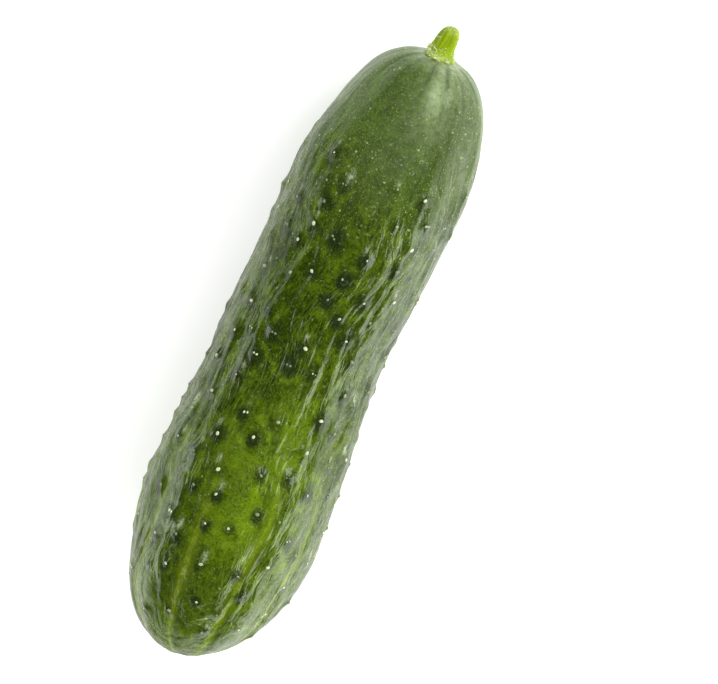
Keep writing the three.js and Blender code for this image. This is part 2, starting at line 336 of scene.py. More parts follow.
def soft_patches(patches_at):
    """Adds up soft spots, each given by its place along the fruit, the degrees round it, half its
    length, half its width (mm) and its strength."""
    total = np.zeros(len(s))
    for place, degrees_round, half_length, half_width, strength in patches_at:
        away_along = (s - place) / half_length
        turn = np.angle(np.exp(1j * (vein_angle - math.radians(degrees_round))))
        total += strength * np.exp(-(away_along**2) - (section * turn / half_width) ** 2)
    return total


# Large patches where the green has ripened more (above zero) or less.
RIPE_PATCHES = [
    (40, 98, 13, 7.5, 1.0),
    (60, 108, 8, 5, 0.5),
    (19, 93, 9, 6.5, -1.0),
    (27, 64, 12, 4, -0.7),
    (40, 156, 24, 2.5, -0.8),
    (62, 236, 25, 9, 0.8),
    (34, 318, 19, 7, 0.7),
    (96, 188, 14, 6, 0.6),
    (16, 246, 9, 7, -0.8),
    (88, 20, 14, 5, 0.5),
    (96, 92, 18, 10, -0.45),
    (120, 134, 18, 7, -0.7),
    (127, 145, 7, 4.5, -0.7),
    (113, 162, 10, 7, -0.8),
]
# Where the bloom on the shoulder, and a little at the tip, has not been rubbed off.
BLOOM_PATCHES = [
    (114, 84, 11, 7, 0.1),
    (134.6, 90, 1.1, 40, 0.6),
    (131, 108, 5, 4.5, 0.6),
    (125, 106, 6, 5, 0.36),
    (116, 150, 10, 3.5, 0.2),
    (124, 205, 8, 6, 0.7),
    (127, 285, 7, 6, 0.8),
    (121, 345, 9, 5, 0.5),
]
# Where handling has dulled the wax.
DULL_PATCHES = [
    (2, 90, 8, 40, 0.85),
    (88, 50, 24, 9, 0.8),
    (57, 143, 10, 5, 0.5),
    (50, 40, 7, 2, 0.6),
    (39, 35, 7, 2, 0.6),
    (29, 29, 7, 1.8, 0.6),
    (126, 147, 8, 6, 0.45),
    (113, 163, 11, 8, 0.45),
    (114, 44, 10, 7, 0.4),
    (70, 250, 22, 9, 0.4),
    (30, 200, 14, 7, 0.4),
]

# What the skin's material needs to know of each spot: its place round and along (mm), and marks.
# The patterns' cylinder closes in over both ends, as the fruit does, so that none is pinched there.
layout_radius = np.hypot(section * np.sin(angle), section * np.cos(angle) + skew)
layout_radius *= SKIN_RADIUS / along_fruit(BODY_RADII, s)
layout_y, layout_z = layout_radius * np.cos(vein_angle), layout_radius * np.sin(vein_angle)
layout = np.stack([layout_y, layout_z, s], axis=1)
skin_mesh.attributes.new("layout", "FLOAT_VECTOR", "POINT").data.foreach_set(
    "vector", layout.ravel()
)
marks = {
    "wart": wart_dark_and_painted_shade,
    "ring": wart_ring,
    "painted_highlight": painted_highlight,
    "ripe": soft_patches(RIPE_PATCHES),
    "bloom": soft_patches(BLOOM_PATCHES),
    "dull": soft_patches(DULL_PATCHES),
    "painted_groove_shade": -groove_lift / GROOVE_DEPTH,
    "ridged": FURROW_LEAST + (1 - FURROW_LEAST) * ridged,
}
for name, values in marks.items():
    skin_mesh.attributes.new(name, "FLOAT", "POINT").data.foreach_set("value", values)

skin = bpy.data.objects.new("skin", skin_mesh)
bpy.context.collection.objects.link(skin)
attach(skin, "root")
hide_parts("fruit")


def linear(hex_colour):
    """An sRGB hex colour as linear RGBA."""
    channels = [int(hex_colour[i : i + 2], 16) / 255 for i in (1, 3, 5)]
    return [c / 12.92 if c <= 0.04045 else ((c + 0.055) / 1.055) ** 2.4 for c in channels] + [1]


def add_node(tree, kind, inputs=(), **settings):
    """Adds a node with its settings. Its inputs, by name or in their order, are filled with values,
    with other nodes' sockets, or with other nodes, whose first output in use is taken."""
    made = tree.nodes.new(kind)
    for name, value in settings.items():
        setattr(made, name, value)
    for name, value in inputs.items() if isinstance(inputs, dict) else enumerate(inputs):
        if isinstance(value, bpy.types.Node):
            value = next(output for output in value.outputs if output.enabled)
        if isinstance(value, bpy.types.NodeSocket):
            tree.links.new(value, made.inputs[name])
        else:
            made.inputs[name].default_value = value
    return made


# Waxy cucumber skin: a thin smooth cuticle over green flesh. It is deep green in the middle of the
# fruit, yellower towards the blossom end and greyed by bloom near the stem. It mirrors the lamps
# softly, tinted by the green below and weaker at the rim, and its ridges break the mirror images
# into threads.
waxy_skin = bpy.data.materials.new("waxy_cucumber_skin")
waxy_skin.use_nodes = True
tree = waxy_skin.node_tree
tree.nodes.clear()
skin_layout = add_node(tree, "ShaderNodeAttribute", attribute_name="layout").outputs["Vector"]
axes = add_node(tree, "ShaderNodeSeparateXYZ", [skin_layout])
mark = {}
for name in marks:
    mark[name] = add_node(tree, "ShaderNodeAttribute", attribute_name=name).outputs["Fac"]


def stretched(lengthwise, warp_by=None):
    """The layout made shorter lengthwise, so that patterns on it run along the fruit. The waves it
    is warped by are given by their size and how far they reach."""
    shortened = add_node(
        tree, "ShaderNodeVectorMath", (skin_layout, (1, 1, 1 / lengthwise)), operation="MULTIPLY"
    )
    if warp_by is None:
        return shortened
    size, reach = warp_by
    wave_inputs = {"Vector": shortened, "Scale": 1 / size, "Detail": 1}
    waves = add_node(tree, "ShaderNodeTexNoise", wave_inputs).outputs["Color"]
    centred = add_node(tree, "ShaderNodeVectorMath", (waves, (0.5,) * 3), operation="SUBTRACT")
    bent = centred, (reach,) * 3, shortened
    return add_node(tree, "ShaderNodeVectorMath", bent, operation="MULTIPLY_ADD")


def clouds(size, lengthwise, detail=2, roughness=0.5, levels=None):
    """Cloudy patches of one size in mm. The levels are those where they start and end, and the
    shares to which that brings them: 0 and 1, if not given."""
    cloud_inputs = {"Vector": stretched(lengthwise), "Scale": 1 / size}
    cloud_inputs |= {"Detail": detail, "Roughness": roughness}
    cloud = add_node(tree, "ShaderNodeTexNoise", cloud_inputs)
    if levels is None:
        return cloud
    return add_node(tree, "ShaderNodeMapRange", (cloud, *levels), interpolation_type="SMOOTHSTEP")


def cell_edges(size, lengthwise, warp_by):
    """How far a spot is from the edges of cells of one size in mm. The edges make a net."""
    cell_inputs = {"Vector": stretched(lengthwise, warp_by), "Scale": 1 / size, "Randomness": 1}
    return add_node(tree, "ShaderNodeTexVoronoi", cell_inputs, feature="DISTANCE_TO_EDGE")


# What changes along the fruit: where it starts and ends (mm), and the shares there.
FADES = {
    "ripe end": (72, 8),
    "shoulder": (95, 121, 0, 0.72),
    "blotched": (122, 100),
    "pored": (100, 126, 1, 0.5),
    "bloomed": (96, 130, 0, 0.1),
    "veined": (62, 8),
    "specked": (60, 112, 0.35, 1),
    "scar": (0.22, 0.05),
    "roughness": (100, 126, 0.22, 0.31),
}
along = {}
for name, levels in FADES.items():
    along_inputs = axes.outputs["Z"], *levels
    along[name] = add_node(
        tree, "ShaderNodeMapRange", along_inputs, interpolation_type="SMOOTHSTEP"
    )

# Three greens of two tones each: the levels of the grain where the darker one ends and the lighter
# one is reached, and the tones.
broad = clouds(9, 2.2)
middling = clouds(2.6, 1.8, 3)
grain = clouds(0.32, 1.2, 2, 0.8)
grained = broad
for finer in (middling, grain):
    grained = add_node(tree, "ShaderNodeMix", {"Factor": 0.5, 2: grained, 3: finer})
GREENS = {
    "middle": (0.43, 0.63, "#1f2d01", "#425802"),
    "riper": (0.43, 0.63, "#3c5202", "#698204"),
    "shoulder": (0.42, 0.6, "#3c5612", "#628328"),
}
green = {}
for name, (low, high, dark, light) in GREENS.items():
    tone = add_node(
        tree, "ShaderNodeMapRange", (grained, low, high), interpolation_type="SMOOTHSTEP"
    )
    tones = {"Factor": tone, 6: linear(dark), 7: linear(light)}
    green[name] = add_node(tree, "ShaderNodeMix", tones, data_type="RGBA")

# Where the hand-placed patches have ripened, the grain shows through.
ripening = add_node(
    tree, "ShaderNodeMapRange", (grained, 0.36, 0.56, 0.35, 0.85), interpolation_type="SMOOTHSTEP"
)

# Mottling: a fine bright tangle, where clouds are halfway between dark and light.
halfway = add_node(tree, "ShaderNodeMath", (clouds(1.3, 1.5, 4, 0.7), 0.5), operation="SUBTRACT")
halfway = add_node(tree, "ShaderNodeMath", [halfway], operation="ABSOLUTE")
tangle = add_node(
    tree, "ShaderNodeMapRange", (halfway, 0.035, 0, 0, 0.35), interpolation_type="SMOOTHSTEP"
)

# Bloom: a thin grey wax, mostly on the shoulder.
bloom = add_node(tree, "ShaderNodeMath", (along["bloomed"], mark["bloom"]), operation="ADD")

# The net of fine veins.
NET_CELL = 0.95
net = cell_edges(NET_CELL, 3.8, warp_by=(2, 1.7))
thread = add_node(tree, "ShaderNodeMapRange", (net, 0.22, 0.02), interpolation_type="SMOOTHSTEP")
for factor in (clouds(5, 2.5, levels=(0.38, 0.62)), mark["ridged"]):
    thread = add_node(tree, "ShaderNodeMath", (thread, factor), operation="MULTIPLY")

# Ten yellow veins run up from the blossom end and fade out.
VEIN_EDGE = -0.89  # of the wave that is lowest along a vein's middle
GLOW_EDGE = -0.3
wave = add_node(
    tree, "ShaderNodeMath", (axes.outputs["Y"], axes.outputs["X"]), operation="ARCTAN2"
)
for step, number in (("SUBTRACT", math.radians(90 + RIB_TURN)), ("MULTIPLY", RIB_COUNT)):
    wave = add_node(tree, "ShaderNodeMath", (wave, number), operation=step)
wave = add_node(tree, "ShaderNodeMath", [wave], operation="COSINE")
vein, glow = (
    add_node(tree, "ShaderNodeMapRange", (wave, edge, -1), interpolation_type="SMOOTHSTEP")
    for edge in (VEIN_EDGE, GLOW_EDGE)
)
for factor in (along["veined"], clouds(1.1, 1.8, 4, 0.75, (0.38, 0.6, 0.25, 1))):
    vein = add_node(tree, "ShaderNodeMath", (vein, factor), operation="MULTIPLY")

# Pale specks: a fine dust of them that thickens towards the shoulder, and a few larger ones.
SPECK_SOFTNESS = 0.45  # where a speck is at its palest, in its own radius


def speckle(size, largest, strength, share):
    """Round specks: their mean spacing and largest radius (mm), how pale the palest is, and the
    share of the places that bear one."""
    cell_inputs = {"Vector": stretched(1), "Scale": 1 / size, "Randomness": 1}
    cells = add_node(tree, "ShaderNodeTexVoronoi", cell_inputs, feature="F1")
    drawn = add_node(tree, "ShaderNodeSeparateColor", [cells.outputs["Color"]])
    edge = add_node(tree, "ShaderNodeMath", (drawn.outputs["Blue"], share), operation="LESS_THAN")
    for factor in (drawn.outputs["Red"], largest / size):
        edge = add_node(tree, "ShaderNodeMath", (edge, factor), operation="MULTIPLY")
    middle = add_node(tree, "ShaderNodeMath", (edge, SPECK_SOFTNESS), operation="MULTIPLY")
    speck = add_node(
        tree, "ShaderNodeMapRange", (cells, edge, middle), interpolation_type="SMOOTHSTEP"
    )
    for factor in (drawn.outputs["Green"], strength):
        speck = add_node(tree, "ShaderNodeMath", (speck, factor), operation="MULTIPLY")
    return speck


fine, coarse, large = (
    speckle(*numbers)
    for numbers in ((0.42, 0.22, 0.65, 0.8), (1.0, 0.34, 0.95, 0.7), (2.4, 0.4, 1.0, 0.5))
)
specks = add_node(tree, "ShaderNodeMath", (fine, coarse), operation="MAXIMUM")
specks = add_node(tree, "ShaderNodeMath", (specks, along["specked"]), operation="MULTIPLY")
specks = add_node(tree, "ShaderNodeMath", (specks, large), operation="MAXIMUM")

# Scuffs: short pale hairlines, parts of a fine crazing.
CRAZING_CELL = 1.7
crazing = cell_edges(CRAZING_CELL, 1.3, warp_by=(1.5, 0.8))
scuff = add_node(tree, "ShaderNodeMapRange", (crazing, 0.06, 0), interpolation_type="SMOOTHSTEP")

# Warts are nearly black-green with painted shade on their blossom-end side, and a painted sheen
# greys them round the spine. They and the painted highlight beside them have a ragged edge: how
# much a cloud frets it, then the cloud.
FRETS = {"painted_highlight": (5.5, 0.42, 1.8, 4, 0.8), "wart": (3.4, 0.5, 1, 4, 0.75)}
fretted = {}
for name, (fret, *cloud_numbers) in FRETS.items():
    ragged = clouds(*cloud_numbers), fret, 1 - fret / 2
    ragged = add_node(tree, "ShaderNodeMath", ragged, operation="MULTIPLY_ADD")
    fretted[name] = add_node(tree, "ShaderNodeMath", (mark[name], ragged), operation="MULTIPLY")
painted_glint, wart_skin_and_painted_shade, wart_painted_sheen = (
    add_node(
        tree, "ShaderNodeMapRange", (fretted[name], *levels), interpolation_type="SMOOTHSTEP"
    )
    for name, *levels in (
        ("painted_highlight", 0.15, 1, 0, 0.9),
        ("wart", 0.1, 0.75, 0, 0.9),
        ("wart", 0.85, 1.25, 0, 0.5),
    )
)

# The layers of colour, from the flesh out: the shares that multiply to how much of a layer shows,
# and its own colour.
LAYERS = [
    (along["ripe end"], 0.9, green["riper"]),
    (along["shoulder"], green["shoulder"]),
    (mark["ripe"], ripening, linear("#749504")),
    (clouds(3.4, 1.5, 4, 0.65, (0.53, 0.68)), 0.7, along["blotched"], linear("#6f8c03")),
    (mark["ring"], clouds(1.8, 1.2, 4, 0.7, (0.44, 0.62, 0, 0.6)), linear("#7a9c05")),
    (mark["ripe"], -0.85, linear("#2a3d03")),  # the patches below zero, less ripe than the rest
    (clouds(1.5, 1.3, 4, 0.75, (0.48, 0.36, 0, 0.6)), linear("#293a08")),  # dark mottling
    (tangle, linear("#769408")),
    (clouds(0.3, 1.1, 2, 0.8, (0.5, 0.32, 0, 0.6)), along["pored"], linear("#24330a")),  # pores
    (clouds(2.6, 3.2, 4, 0.65, (0.52, 0.38, 0, 0.45)), mark["ridged"], linear("#22320a")),  # bands
    (bloom, clouds(1.4, 1.5, 5, 0.75, (0.36, 0.62, 0.45, 1)), linear("#98a97c")),
    (thread, 0.22, linear("#7f9a1c")),
    (glow, along["veined"], 0.35, linear("#7b9410")),
    (vein, 0.65, linear("#8fa616")),
    (vein, clouds(0.36, 1.6, 3, 0.8, (0.5, 0.66)), linear("#b4c25a")),  # flecks on the veins
    (specks, linear("#a9ba7c")),
    (scuff, clouds(0.8, 1.2, levels=(0.62, 0.7)), 0.5, linear("#a9b98c")),
    # a painted highlight beside the warts
    (painted_glint, linear("#bac7a0")),
    # the warts' dark skin, with painted shade on their blossom-end side
    (wart_skin_and_painted_shade, linear("#202c14")),
    # a painted sheen round the spines
    (wart_painted_sheen, linear("#5d6c4c")),
    # painted shade in the grooves by the stem
    (mark["painted_groove_shade"], 0.6, linear("#2f4414")),
    (along["scar"], linear("#b3a36a")),  # the dried scar of the blossom
]
colour = green["middle"]
for strength, *factors, layer in LAYERS:
    for factor in factors:
        strength = add_node(tree, "ShaderNodeMath", (strength, factor), operation="MULTIPLY")
    layered = {"Factor": strength, 6: colour, 7: layer}
    colour = add_node(tree, "ShaderNodeMix", layered, data_type="RGBA")

# Relief: a net of ridges that run lengthwise and branch, finer veins, and a faint unevenness. The
# crests are waxier than the hollows, so they mirror more.
RIDGE_CELL = 2.3
RELIEF_DEPTH = 0.13
ridges = cell_edges(RIDGE_CELL, 3.3, warp_by=(2.6, 2.4))
ridge = add_node(tree, "ShaderNodeMapRange", (ridges, 0.38, 0), interpolation_type="SMOOTHSTEP")
ridge_strength = add_node(
    tree, "ShaderNodeMapRange", (broad, 0.3, 0.65, 0.45, 1), interpolation_type="SMOOTHSTEP"
)
for factor in (ridge_strength, mark["ridged"]):
    ridge = add_node(tree, "ShaderNodeMath", (ridge, factor), operation="MULTIPLY")
height = ridge
for bumps, share in ((thread, 0.4), (middling, 0.45), (grain, 0.06)):
    height = add_node(tree, "ShaderNodeMath", (bumps, share, height), operation="MULTIPLY_ADD")
relief = add_node(
    tree, "ShaderNodeBump", {"Height": height, "Distance": RELIEF_DEPTH * MM, "Strength": 1}
)
crest = add_node(tree, "ShaderNodeMapRange", (ridges, 0.2, 0.03), interpolation_type="SMOOTHSTEP")
crest = add_node(tree, "ShaderNodeMath", (crest, mark["ridged"]), operation="MULTIPLY")
vein_wax = add_node(tree, "ShaderNodeMath", (thread, 0.7), operation="MULTIPLY")
waxy_line = add_node(tree, "ShaderNodeMath", (crest, vein_wax), operation="MAXIMUM")
shine = add_node(
    tree, "ShaderNodeMapRange", (waxy_line, 0, 1, 0.5, 1), interpolation_type="SMOOTHSTEP"
)
undulled = add_node(tree, "ShaderNodeMath", (1, mark["dull"]), operation="SUBTRACT")

# Seen along the skin, its wrinkles hide one another, so the rim mirrors much less than smooth wax.
facing = add_node(tree, "ShaderNodeLayerWeight", {"Blend": 0.5}).outputs["Facing"]
rim_fade = add_node(
    tree, "ShaderNodeMapRange", (facing, 0.5, 0.95, 1, 0.1), interpolation_type="SMOOTHSTEP"
)
for factor in (undulled, rim_fade):
    shine = add_node(tree, "ShaderNodeMath", (shine, factor), operation="MULTIPLY")
shader = add_node(
    tree,
    "ShaderNodeBsdfPrincipled",
    {
        "Base Color": colour,
        "Roughness": along["roughness"],
        "IOR": 1.48,
        "Specular IOR Level": shine,
        "Specular Tint": (0.88, 1.0, 0.78, 1),
        "Normal": relief,
    },
)
add_node(tree, "ShaderNodeOutputMaterial", {"Surface": shader})
skin_mesh.materials.append(waxy_skin)


# ---- the spines ---------------------------------------------------------
# Blunt cream nubs, one or two on top of each wart, grown out of the skin.

SPINE_LEAST = 0.2
SPINE_MOST = 0.44
SPINE_SHAPE = (1.15, 0.9, 0.55)  # half its length, width and height, in its radius
SPINE_SINK = 0.04  # from its middle up to the skin
PAIRED_SHARE = 0.25  # of the warts that bear two
PAIR_REACH = 0.34  # of each from the wart's middle
PAIR_RADII = {1: 0.8, -1: 0.7}  # on either side, in the radius of a single one
spines_bm = bmesh.new()
tone_layer = spines_bm.verts.layers.float.new("tone")


def add_spine(centre, out, radius, tone, turn):
    """Adds one nub, a little longer than it is wide."""
    made = bmesh.ops.create_uvsphere(spines_bm, u_segments=8, v_segments=6, radius=1)
    upright = Vector(out).to_track_quat("Z", "Y").to_matrix().to_4x4()
    shape = Matrix.Diagonal((*(radius * half for half in SPINE_SHAPE), 1))
    place_it = Matrix.Translation(Vector(centre)) @ upright @ Matrix.Rotation(turn, 4, "Z") @ shape
    bmesh.ops.transform(spines_bm, matrix=place_it, verts=made["verts"])
    for vert in made["verts"]:
        vert[tone_layer] = tone


for wart, point in zip(warts, wart_points):
    out = body_normal(wart["s"], wart["angle"])
    radius = SPINE_LEAST + (SPINE_MOST - SPINE_LEAST) * draw()
    tone = draw()
    turn = math.pi * draw()
    side = np.array([0.0, math.cos(turn), math.sin(turn)])
    side = side - out * (side @ out)
    side = side / np.linalg.norm(side)
    skin_lift = lift[np.linalg.norm(plain - point, axis=1).argmin()]
    top = point + FRUIT_START + out * (skin_lift - SPINE_SINK)
    if draw() < PAIRED_SHARE:
        for way, share in PAIR_RADII.items():
            add_spine((top + way * side * PAIR_REACH) * MM, out, radius * share * MM, tone, turn)
    else:
        add_spine(top * MM, out, radius * MM, tone, turn)
for face in spines_bm.faces:
    face.smooth = True
spines_mesh = bpy.data.meshes.new("spines")
spines_bm.to_mesh(spines_mesh)
spines_bm.free()
spines = bpy.data.objects.new("spines", spines_mesh)
bpy.context.collection.objects.link(spines)
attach(spines, "root")

# Dry horny spine: matt cream, duller and greener on some.
horny_spine = bpy.data.materials.new("dry_cream_spine")
horny_spine.use_nodes = True
tree = horny_spine.node_tree
tree.nodes.clear()
tone = add_node(tree, "ShaderNodeAttribute", attribute_name="tone").outputs["Fac"]
tone = add_node(tree, "ShaderNodeMapRange", (tone, 0.2, 0.6), interpolation_type="SMOOTHSTEP")
tones = {"Factor": tone, 6: linear("#8b9868"), 7: linear("#e1eab8")}
colour = add_node(tree, "ShaderNodeMix", tones, data_type="RGBA")
spine_looks = {"Base Color": colour, "Roughness": 0.5, "IOR": 1.45}
shader = add_node(tree, "ShaderNodeBsdfPrincipled", spine_looks)
add_node(tree, "ShaderNodeOutputMaterial", {"Surface": shader})
spines_mesh.materials.append(horny_spine)


# ---- the stem stub ------------------------------------------------------
# Soft green flesh, grown out of the fruit: a ribbed shaft with a lumpy collar and a torn, rounded
# tip. Its foot is sunk a little into the fruit, and it is the solid's shaft in finer steps.

STEM_LENGTH = 6.4
STEM_LEAN_Y = -0.35
STEM_LEAN_Z = 1.3
STEM_RIBS = 5
STEM_RIB_DEPTH = 0.06
STEM_RIB_START = 1 / 6  # share of the length over which they rise to full depth
STEM_SINK = 0.45  # closes the solid's gap and reaches into the fruit
STEM_FOOT = np.array([63.67, 0.75, 20.47])
STEM_SHARES = [0, 0.06, 0.15, 0.27, 0.42, 0.6, 0.76, 0.88, 0.96, 1]
STEM_RADII = [3.05, 3.1, 2.65, 2.3, 2.15, 2.05, 1.85, 1.5, 1.0, 0.45]
STEM_BLUR = 0.25  # rounds the profile's corners
STEM_BLUR_STEPS = 7
STEM_FOOT_CLOSE = 0.05  # share of the ball's rows over which it closes
STEM_TIP_CLOSE = 0.04
STEM_TIP_SLANT = 0.5
STEM_SLANT_TURN = 0.6
STEM_SEGMENTS = 120
STEM_ROWS = 110

stem_bm = bmesh.new()
bmesh.ops.create_uvsphere(stem_bm, u_segments=STEM_SEGMENTS, v_segments=STEM_ROWS, radius=1)
ball = np.array([v.co for v in stem_bm.verts])

# The ball's rows follow the profile: out under the foot, along the shaft, in over the tip.
profile_x = np.array([0, *(STEM_LENGTH * x for x in STEM_SHARES), STEM_LENGTH])
profile_r = np.array([0, *STEM_RADII, 0])
profile_way = np.append(0, np.hypot(np.diff(profile_x), np.diff(profile_r)).cumsum())
row = 1 - np.arccos(np.clip(ball[:, 2], -1, 1)) / np.pi
blur = np.linspace(-STEM_BLUR, STEM_BLUR, STEM_BLUR_STEPS)
ways = [row * profile_way[-1] + step for step in blur]
ways_on = np.clip(ways, 0, profile_way[-1])
stem_x = np.interp(ways_on, profile_way, profile_x).mean(axis=0)
stem_r = np.interp(np.abs(ways), profile_way, profile_r).mean(axis=0)
stem_r *= smooth_ramp(0, STEM_FOOT_CLOSE, row) * smooth_ramp(0, STEM_TIP_CLOSE, 1 - row) ** 0.5
share = stem_x / STEM_LENGTH
stem_angle = np.arctan2(ball[:, 1], ball[:, 0])
rib = np.cos(STEM_RIBS * stem_angle) * np.minimum(share / STEM_RIB_START, 1)
slant = STEM_TIP_SLANT * share**4 * np.sin(stem_angle + STEM_SLANT_TURN)
slant *= stem_r / STEM_RADII[1]

# Fibres along the shaft, and ragged lumps round the collar and over the tip. The collar bulges on
# one side and is drawn in beside it.
FIBRES_ROUND = 5.5
FIBRES_ALONG = 0.35
FIBRE_DEPTH = 0.08
LUMPS_ROUND = 3.4
LUMPS_ALONG = 1.3
LUMPS_START = 9  # keeps their pattern clear of the fibres'
COLLAR_SHARE = 0.13
COLLAR_LUMPS = 0.7
COLLAR_LUMPS_ALONG = 0.5
TORN_FROM = 0.75
TORN_LUMPS = 0.35
TORN_LUMPS_ALONG = 0.3
BULGES = [(1.2, 0.75), (-0.1, -0.4)]  # where (radians) and how far
BULGE_WIDTH = 0.6
fibre = np.zeros(len(share))
lumps = np.zeros(len(share))
for i, (x, a) in enumerate(zip(stem_x, stem_angle)):
    round_y, round_z = math.cos(a), math.sin(a)
    spot = FIBRES_ROUND * round_y, FIBRES_ROUND * round_z, x * FIBRES_ALONG
    fibre[i] = noise.noise(Vector(spot))
    spot = LUMPS_ROUND * round_y, LUMPS_ROUND * round_z, x * LUMPS_ALONG + LUMPS_START
    lumps[i] = noise.noise(Vector(spot))
collar = np.exp(-((share / COLLAR_SHARE) ** 2))
torn = smooth_ramp(TORN_FROM, 1, share)
bulge = sum(far * np.exp(-(((stem_angle - at) / BULGE_WIDTH) ** 2)) for at, far in BULGES)
outward = FIBRE_DEPTH * fibre * (1 - collar)
outward = outward + (COLLAR_LUMPS * lumps + bulge) * collar + TORN_LUMPS * lumps * torn
onward = (COLLAR_LUMPS_ALONG * collar + TORN_LUMPS_ALONG * torn) * lumps
radius = stem_r * (1 + STEM_RIB_DEPTH * rib) + outward * np.minimum(stem_r, 1)
stem_points = np.stack(
    [
        STEM_FOOT[0] - STEM_SINK * (1 - share) ** 3 + stem_x + slant + onward,
        STEM_FOOT[1] + STEM_LEAN_Y * share**2 + radius * np.cos(stem_angle),
        STEM_FOOT[2] + STEM_LEAN_Z * share + radius * np.sin(stem_angle),
    ],
    axis=1,
)
for vert, point in zip(stem_bm.verts, stem_points * MM):
    vert.co = point
bmesh.ops.recalc_face_normals(stem_bm, faces=stem_bm.faces)
for face in stem_bm.faces:
    face.smooth = True
stem_mesh = bpy.data.meshes.new("stem_stub")
stem_bm.to_mesh(stem_mesh)
stem_bm.free()
stem_marks = {"share": share, "fibre": fibre}
for name, values in stem_marks.items():
    stem_mesh.attributes.new(name, "FLOAT", "POINT").data.foreach_set("value", values)
stem = bpy.data.objects.new("stem_stub", stem_mesh)
bpy.context.collection.objects.link(stem)
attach(stem, "root")
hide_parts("stem")

# Juicy stem flesh: soft, a little translucent, yellow-green, with pale dry fibres at the collar
# and at the tip, and hardly any shine.
FLECK_SIZE = 0.55
FLECK_RELIEF = 0.12
FLESH_DEPTH = 1.2  # how far light wanders in it
stem_flesh = bpy.data.materials.new("juicy_stem_flesh")
stem_flesh.use_nodes = True
tree = stem_flesh.node_tree
tree.nodes.clear()
stem_place = add_node(tree, "ShaderNodeTexCoord").outputs["Object"]
stem_mark = {}
for name in stem_marks:
    stem_mark[name] = add_node(tree, "ShaderNodeAttribute", attribute_name=name).outputs["Fac"]
fleck_inputs = {"Vector": stem_place, "Scale": 1 / (FLECK_SIZE * MM)}
fleck_inputs |= {"Detail": 2, "Roughness": 0.6}
flecks = add_node(tree, "ShaderNodeTexNoise", fleck_inputs)
fibrous, pale_collar, pale_tip, white_fleck, green_fleck = (
    add_node(tree, "ShaderNodeMapRange", levels, interpolation_type="SMOOTHSTEP")
    for levels in (
        (stem_mark["fibre"], -0.35, 0.35),
        (stem_mark["share"], 0.24, 0.02),
        (stem_mark["share"], 0.72, 1, 0, 0.7),
        (flecks, 0.56, 0.66),
        (flecks, 0.42, 0.34),
    )
)
paleness = add_node(tree, "ShaderNodeMath", (pale_collar, pale_tip), operation="MAXIMUM")

# The layers of its colour, as on the skin.
STEM_LAYERS = [
    (fibrous, linear("#9cb80a")),
    (paleness, 0.6, linear("#c3d37c")),
    (white_fleck, paleness, linear("#e4e8c8")),
    (green_fleck, paleness, 0.5, linear("#8aa21c")),
]
colour = linear("#87a304")
for strength, *factors, layer in STEM_LAYERS:
    for factor in factors:
        strength = add_node(tree, "ShaderNodeMath", (strength, factor), operation="MULTIPLY")
    layered = {"Factor": strength, 6: colour, 7: layer}
    colour = add_node(tree, "ShaderNodeMix", layered, data_type="RGBA")
relief = add_node(
    tree, "ShaderNodeBump", {"Height": flecks, "Distance": FLECK_RELIEF * MM, "Strength": 0.8}
)
shader = add_node(
    tree,
    "ShaderNodeBsdfPrincipled",
    {
        "Base Color": colour,
        "Roughness": 0.55,
        "IOR": 1.4,
        "Specular IOR Level": 0.25,
        "Subsurface Weight": 0.25,
        "Subsurface Radius": (1.0, 1.0, 0.2),
        "Subsurface Scale": FLESH_DEPTH * MM,
        "Normal": relief,
    },
)
add_node(tree, "ShaderNodeOutputMaterial", {"Surface": shader})
stem_mesh.materials.append(stem_flesh)


# ---- the stem's fibres --------------------------------------------------
# Fine dry white hairs and a few longer strands that stand on the collar and the shaft.

HAIR_COUNT = 150
HAIR_LENGTHS = (0.35, 1.1)
HAIR_RADII = (0.05, 0.09)
HAIR_TIP = 0.25  # share of the radius that is left there
LOW_HAIRS = 0.94  # share of them that stands on the collar
COLLAR_FROM = 0.03  # share of the stem's length
COLLAR_TO = 0.3
BARE_FOOT = 0.15  # shares of the ball's rows that bear none
BARE_TIP = 0.03
STRAND_COUNT = 12
STRAND_LENGTHS = (1.2, 2.5)
STRAND_RADIUS = 0.1
HAIR_AXIS_RISE = 0.2  # of the line that they point away from, per mm along the stem
RUFFLE = 1.5  # how far they lean off the straight way out
RUFFLE_MIDDLE = (0.35, 0.5, 0.5)  # below a half, more of them lean towards the tip
hair_bm = bmesh.new()


def add_hair(root, out, length, radius):
    """Adds one tapered hair that stands on a root and points out."""
    upright = out.to_track_quat("Z", "Y").to_matrix().to_4x4()
    middle = Matrix.Translation((0, 0, length / 2 - radius))
    bmesh.ops.create_cone(
        hair_bm,
        cap_ends=True,
        segments=6,
        radius1=radius,
        radius2=radius * HAIR_TIP,
        depth=length,
        matrix=Matrix.Translation(root) @ upright @ middle,
    )


def between(limits, share):
    """The value at a share of the way from one limit to the other."""
    return limits[0] + (limits[1] - limits[0]) * share


